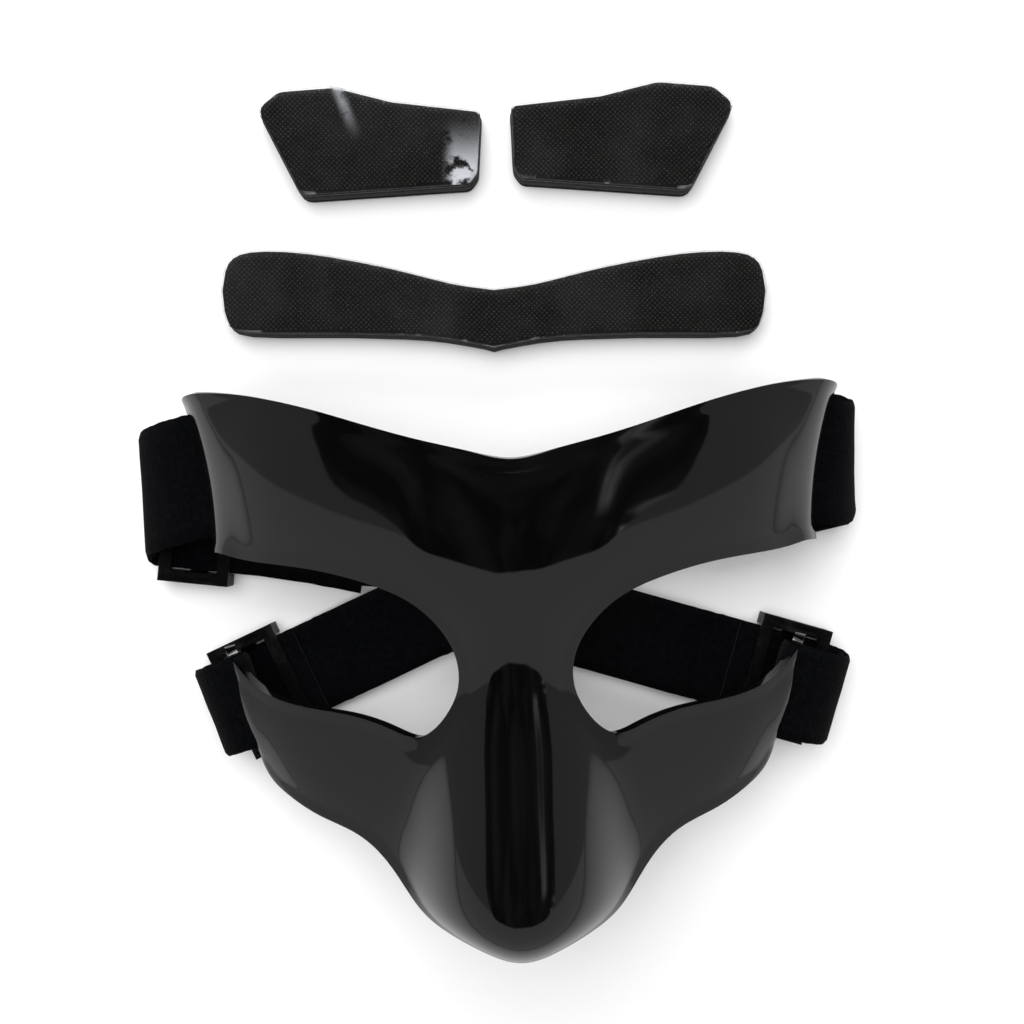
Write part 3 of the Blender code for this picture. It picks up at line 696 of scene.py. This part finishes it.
# y and height of the middle line, then x, y and height of the column's side, then how round it is
columnRows = (
    (12.7, 57.5, 25.3, 19.1, 55.5, 0.50),
    (7.5, 61.5, 25.6, 12.5, 59.0, 0.55),
    (-2.5, 63.5, 26.0, 1.0, 60.5, 0.55),
    (-13.0, 62.3, 26.4, -10.5, 59.0, 0.55),
    (-22.5, 59.0, 25.5, -21.5, 54.0, 0.60),
    (-31.5, 55.3, 16.8, -31.5, 50.5, 0.62),
    (-41.0, 52.3, 14.0, -40.5, 47.5, 0.66),
    (-50.0, 52.3, 15.2, -50.0, 45.5, 0.74),
    (-59.0, 56.6, 24.5, -61.5, 44.0, 0.82),
    (-71.0, 63.4, 26.5, -72.0, 43.5, 0.84),
    (-83.5, 69.6, 27.5, -81.5, 43.0, 0.86),
    (-95.5, 73.4, 28.5, -90.0, 42.5, 0.88),
    (-106.5, 72.0, 28.5, -98.0, 42.0, 0.90),
    (-113.0, 62.5, 27.8, -103.0, 41.5, 0.86),
    (-115.5, 54.5, 27.0, -105.5, 41.0, 0.80),
)
# top edge, bottom edge and crown of each station, from the column out
browStations = (
    ((38.3, 23.3, 52.5), (39.0, -16.6, 51.0), 4.5),
    ((51.9, 28.0, 48.5), (52.3, -13.4, 46.5), 4.5),
    ((66.5, 32.0, 42.0), (66.5, -12.0, 39.5), 4.0),
    ((78.0, 34.3, 34.5), (75.5, -11.0, 32.5), 3.0),
)
cheekStations = (
    ((34.0, -56.5, 40.5), (34.5, -94.0, 37.0), 0.5),
    ((45.5, -53.5, 36.3), (43.5, -86.5, 33.0), 1.0),
    ((57.5, -52.8, 31.4), (55.5, -83.5, 28.2), 1.5),
    ((68.0, -50.8, 26.2), (65.0, -78.5, 23.0), 2.0),
    ((76.5, -46.5, 20.8), (70.5, -75.0, 18.8), 2.2),
)
drawnEndHeight = 9.8


def cagePoint(x, y, z):
    return Vector((x, y, endHeight + z - drawnEndHeight))


def wingColumn(top, bottom, push, rows):
    shares = [row / (rows - 1) for row in range(rows)]
    return [top.lerp(bottom, share) + push * (1 - (2 * share - 1) ** 2) for share in shares]


def wingColumns(side, stations, end, margin):
    rows = len(side)
    columns = [side]
    for top, bottom, crown in stations:
        columns.append(wingColumn(cagePoint(*top), cagePoint(*bottom), Vector((0, 0, crown)), rows))
    middle, out, along = endFrame(end)
    half = (end["width"] + shellShape["slotPlay"]) / 2 + margin
    for inboard, rise, push in end["run"]:
        centre = middle - out * inboard + Vector((0, 0, rise))
        columns.append(wingColumn(centre + along * half, centre - along * half, out * push, rows))
    return columns


def columnPoints(row):
    y, z, sideX, sideY, sideZ, roundness = row
    middle, side = cagePoint(0, y, z), cagePoint(sideX, sideY, sideZ)
    inner, outer = middle.lerp(side, 0.36), middle.lerp(side, 0.72)
    inner.z = side.z + (middle.z - side.z) * (0.70 + 0.27 * roundness)
    outer.z = side.z + (middle.z - side.z) * (0.15 + 0.50 * roundness)
    return [middle, inner, outer, side]


def fillShell(shape):
    rows = [columnPoints(row) for row in columnRows]
    column = [[row[index] for row in rows] for index in range(4)]
    grids = (
        column,
        wingColumns(column[3][:5], browStations, browEnd, 3.6),
        wingColumns(column[3][8:], cheekStations, cheekEnd, 2.9),
    )
    shared = {}

    def vertex(point):
        key = tuple(round(value, 4) for value in point)
        if key not in shared:
            shared[key] = shape.verts.new(point)
        return shared[key]

    for columns in grids:
        for left, right in zip(columns, columns[1:]):
            for row in range(len(left) - 1):
                corners = (left[row], left[row + 1], right[row + 1], right[row])
                shape.faces.new([vertex(point) for point in corners])
    bmesh.ops.recalc_face_normals(shape, faces=shape.faces)
    if sum(face.normal.z for face in shape.faces) < 0:
        bmesh.ops.reverse_faces(shape, faces=shape.faces)


def raiseRim(piece):
    # lifts a soft bead along every free edge of the sheet
    shape = bmesh.new()
    shape.from_mesh(piece.data)
    shape.normal_update()
    edgePoints = [vertex.co.copy() for vertex in shape.verts if vertex.is_boundary]
    tree = KDTree(len(edgePoints))
    for index, point in enumerate(edgePoints):
        tree.insert(point, index)
    tree.balance()
    wide = shellShape["beadWide"]
    moves = []
    for vertex in shape.verts:
        near = min(1.0, tree.find(vertex.co)[2] / wide)
        moves.append((vertex, vertex.normal * shellShape["bead"] * (1 - near * near * (3 - 2 * near))))
    for vertex, move in moves:
        vertex.co += move
    shape.to_mesh(piece.data)
    shape.free()


def addShell(offset, material):
    piece = meshPiece("guard_shell", fillShell)
    finishWith(piece, "MIRROR", use_clip=True, merge_threshold=0.05)
    smooth = shellShape["smooth"]
    finishWith(piece, "SUBSURF", levels=smooth, render_levels=smooth)
    raiseRim(piece)
    finishWith(piece, "SOLIDIFY", thickness=shellShape["wall"], offset=-1, use_even_offset=True)
    finishWith(
        piece, "BEVEL", width=shellShape["rim"], segments=5, limit_method="ANGLE",
        angle_limit=math.radians(60), profile=0.6,
    )
    piece.data.transform(Matrix.Scale(mm, 4) @ Matrix.Translation(offset))
    for end in (browEnd, cheekEnd):
        length = end["width"] + shellShape["slotPlay"]
        slot = slotMiddle(end)
        for sign in (-1, 1):
            bpy.ops.mesh.primitive_cube_add(size=1)
            cutter = bpy.context.object
            cutter.scale = (shellShape["slotCutter"] * mm, length * mm, strapSizes["window"] * mm)
            bpy.ops.object.transform_apply(location=True, rotation=True, scale=True)
            finishWith(cutter, "BEVEL", width=shellShape["slotRound"] * mm, segments=5)
            cutter.rotation_euler = (0, 0, -sign * math.radians(end["lean"]))
            cutter.location = (Vector((sign * slot.x, slot.y, slot.z)) + offset) * mm
            bpy.context.view_layer.update()
            finishWith(piece, "BOOLEAN", operation="DIFFERENCE", object=cutter)
            bpy.data.objects.remove(cutter)
    settle(piece, 38)
    return finishPiece(piece, "guard", "shell", material)


# pads

padShape = {
    "voxel": 0.8, "swell": 0.06, "bulge": 0.10, "skinEdge": 0.2, "loopEdge": 0.25, "tapeEdge": 0.18,
    "hookMargin": 0.8, "filmGrid": 2.0, "filmWave": 0.10, "filmDrop": 0.1, "filmCrease": 3.0,
    "filmThick": 0.12,
}


def insideOf(tree, x, y, top, margin):
    for dx, dy in ((margin, 0), (-margin, 0), (0, margin), (0, -margin)):
        hit = tree.ray_cast(Vector((x + dx, y + dy, top + 0.01)), Vector((0, 0, -1)), 0.02)
        if hit[0] is None:
            return False
    return True


def addHookTape(pad, material):
    node = pad + "_hook_tape"
    piece = copyOfNode(node, pad + "_hooks")
    finishWith(
        piece, "BEVEL", width=padShape["tapeEdge"] * mm, segments=2, limit_method="ANGLE",
        angle_limit=math.radians(60),
    )
    low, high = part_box(node)
    shape = bmesh.new()
    shape.from_mesh(piece.data)
    tree = BVHTree.FromBMesh(shape)
    pitch = hookShape["pitch"] * mm
    foot, tip, tall = hookShape["wide"] * mm, hookShape["wide"] * 0.55 * mm, hookShape["tall"] * mm
    for row in range(int((high.y - low.y) / (pitch * 0.5))):
        for column in range(int((high.x - low.x) / pitch) + 1):
            x = low.x + (column + 0.5 * (row % 2)) * pitch
            y = low.y + row * pitch * 0.5
            if not insideOf(tree, x, y, high.z, padShape["hookMargin"] * mm):
                continue
            twist = noise.random() * 0.8
            rings = []
            for radius, z in ((foot, -0.05 * mm), (foot * 0.95, tall * 0.6), (tip, tall)):
                ring = []
                for corner in range(5):
                    angle = twist + corner * 2 * math.pi / 5
                    spot = (x + radius * math.cos(angle), y + radius * math.sin(angle), high.z + z)
                    ring.append(shape.verts.new(spot))
                rings.append(ring)
            for lower, upper in zip(rings, rings[1:]):
                for corner in range(5):
                    following = (corner + 1) % 5
                    shape.faces.new((lower[corner], lower[following], upper[following], upper[corner]))
            shape.faces.new(rings[-1])
            shape.faces.new(rings[0][::-1])
    shape.to_mesh(piece.data)
    shape.free()
    settle(piece, 30)
    return finishPiece(piece, pad + "_fastener", node, material)


def addFilm(pad, material, creases):
    node = pad + "_film"
    piece = copyOfNode(node, pad + "_liner")
    low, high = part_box(node)
    shape = bmesh.new()
    shape.from_mesh(piece.data)
    spare = [face for face in shape.faces if face.normal.z < 0.5]
    bmesh.ops.delete(shape, geom=spare, context="FACES")
    grid = padShape["filmGrid"] * mm
    for axis in (0, 1):
        normal = Vector((1 - axis, axis, 0))
        place = low[axis] + grid
        while place < high[axis]:
            geometry = [*shape.verts, *shape.edges, *shape.faces]
            bmesh.ops.bisect_plane(shape, geom=geometry, plane_co=normal * place, plane_no=normal)
            place += grid
    bmesh.ops.triangulate(shape, faces=[face for face in shape.faces if len(face.verts) > 4])
    for vertex in shape.verts:
        x, y = vertex.co.x / mm, vertex.co.y / mm
        wave = noise.noise(Vector((x / 16, y / 11, 5.0)))
        wave += 0.4 * noise.noise(Vector((x / 5, y / 5, 9.0)))
        for creaseX, slant, tall in creases:
            away = abs(x - low.x / mm - creaseX - slant * (y - low.y / mm))
            wave += tall * max(0.0, 1 - away / padShape["filmCrease"]) ** 2
        vertex.co.z = high.z - padShape["filmDrop"] * mm + padShape["filmWave"] * mm * wave
    shape.to_mesh(piece.data)
    shape.free()
    finishWith(piece, "SOLIDIFY", thickness=padShape["filmThick"] * mm, offset=0)
    settle(piece, 60)
    return finishPiece(piece, pad + "_liner", node, material)


def addLayer(pad, layer, material, edge):
    node = f"{pad}_{layer}"
    piece = copyOfNode(node, f"{pad}_{layer}_layer")
    finishWith(
        piece, "BEVEL", width=edge * mm, segments=3, limit_method="ANGLE",
        angle_limit=math.radians(60),
    )
    settle(piece, 40)
    return finishPiece(piece, pad, node, material)


def addFoam(pad, material):
    node = pad + "_foam"
    piece = copyOfNode(node, pad + "_cushion")
    finishWith(piece, "REMESH", mode="VOXEL", voxel_size=padShape["voxel"] * mm)
    finishWith(piece, "SMOOTH", factor=0.5, iterations=4)
    low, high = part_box(node)
    for vertex in piece.data.vertices:
        place = vertex.co / mm
        swell = noise.noise(Vector((place.x / 9, place.y / 9, 2.0))) * padShape["swell"]
        rim = math.sin(math.pi * (vertex.co.z - low.z) / (high.z - low.z))
        vertex.co += vertex.normal * (swell + padShape["bulge"] * max(0.0, rim)) * mm
    settle(piece, 60)
    return finishPiece(piece, pad, node, material)


def addPad(pad, finishes, creases):
    addLayer(pad, "skin", finishes["skin"], padShape["skinEdge"])
    addFoam(pad, finishes["foam"])
    addLayer(pad, "loop", finishes["loop"], padShape["loopEdge"])
    addHookTape(pad, finishes["hook"])
    addFilm(pad, finishes["film"], creases)


# everything together

addCamera()
addRoom()
print("room ready")

routes = {name: StrapEnd(spec) for name, spec in strapEnds.items()}
sliderLow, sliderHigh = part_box("upper_left_slider")
sliderPlace = (sliderLow + sliderHigh) / 2 / mm
origin = sliderPlace - routes["upper_left"].sliderMiddle()
origin.z = 0
print("offset", origin)

addShell(origin, glossBlack())
print("shell ready")

elastic = elasticBlack()
# how far along each end the band runs straight before it curves
bandRuns = {"upper": (84, 64), "lower": (64, 70)}
upper = addStrap(
    "upper_band", routes["upper_left"], routes["upper_right"], browEnd["width"], bandRuns["upper"],
    0, origin, 1.0,
)
finishPiece(upper, "guard", "upper_strap", elastic)
lift = strapSizes["thick"] + 2 * strapSizes["gap"]
lower = addStrap(
    "lower_band", routes["lower_left"], routes["lower_right"], cheekEnd["width"], bandRuns["lower"],
    lift, origin, 2.0,
)
finishPiece(lower, "guard", "lower_strap", elastic)
print("straps ready")

moulded = mouldedBlack()
for name, spec in strapEnds.items():
    addSlider(name + "_slider", spec["end"]["width"], moulded)
print("sliders ready")

noise.seed_set(7)
padFinishes = {
    "skin": skinKnit(), "foam": padFoam(), "loop": loopPile(), "hook": hookBlack(), "film": clearFilm(),
}
addPad("forehead_pad", padFinishes, ((22.0, 0.3, 0.6), (140.0, -0.2, 0.5)))
addPad("left_cheek_pad", padFinishes, ((27.0, -0.15, 1.6), (58.0, 0.5, 1.4)))
addPad("right_cheek_pad", padFinishes, ((9.0, 0.2, 0.8),))
print("pads ready")
